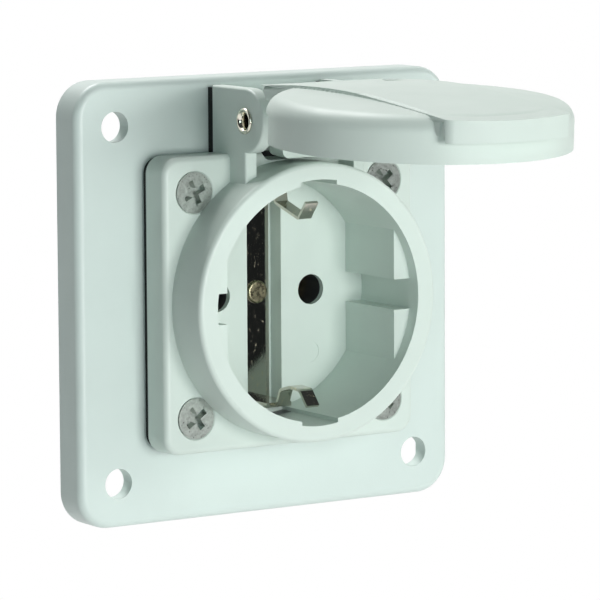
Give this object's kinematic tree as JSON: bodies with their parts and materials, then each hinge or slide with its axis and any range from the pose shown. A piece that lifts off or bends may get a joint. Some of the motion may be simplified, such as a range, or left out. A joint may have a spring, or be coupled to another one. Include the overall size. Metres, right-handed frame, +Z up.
{
  "type": "panel-mounted schuko socket",
  "caption": "Grey schuko outlet for panels: square flange on an adapter plate, round collar with side earth clips, spring-free hinged lid standing open above it.",
  "frame": {"origin": "centre of the adapter plate's front face, the plane of its four mounting holes' mouths, on the socket's axis", "axes": "+Z up, -Y out of the panel towards the plug, +X to the right seen from the front"},
  "size_m": [0.075, 0.0996, 0.0754],
  "materials": {
    "housing_plastic": "fine satin moulding, cool light grey",
    "carrier_plastic": "dark grey moulding",
    "black_rubber": "matt black",
    "seal_rubber": "matt dark grey",
    "screw_steel": "zinc-plated",
    "bright_metal": "bright nickel-plated",
    "contact_brass": "plain"
  },
  "bodies": {
    "base": {"adapter_plate": "housing_plastic", "flange_gasket": "black_rubber", "socket_housing": "housing_plastic", "flange_screw_top_left": "screw_steel", "flange_screw_top_right": "screw_steel", "flange_screw_bottom_left": "screw_steel", "flange_screw_bottom_right": "screw_steel", "earth_strip": "bright_metal", "earth_rivet": "bright_metal", "earth_strap": "contact_brass", "contact_carrier": "carrier_plastic", "rear_cover": "carrier_plastic", "rear_screw_left": "screw_steel", "rear_screw_right": "screw_steel", "contact_left": "contact_brass", "contact_right": "contact_brass", "terminal_left": "contact_brass", "terminal_earth": "contact_brass", "terminal_right": "contact_brass", "clamp_screw_left": "screw_steel", "clamp_screw_earth": "screw_steel", "clamp_screw_right": "screw_steel", "hinge_pin": "bright_metal"},
    "lid": {"lid": "housing_plastic", "lid_seal": "seal_rubber"}
  },
  "joints": [
    {"name": "lid_hinge", "type": "hinge", "parent": "base", "child": "lid", "pos_m": [0, -0.012, 0.0309], "axis": [1, 0, 0], "range_deg": [-8, 87]}
  ]
}
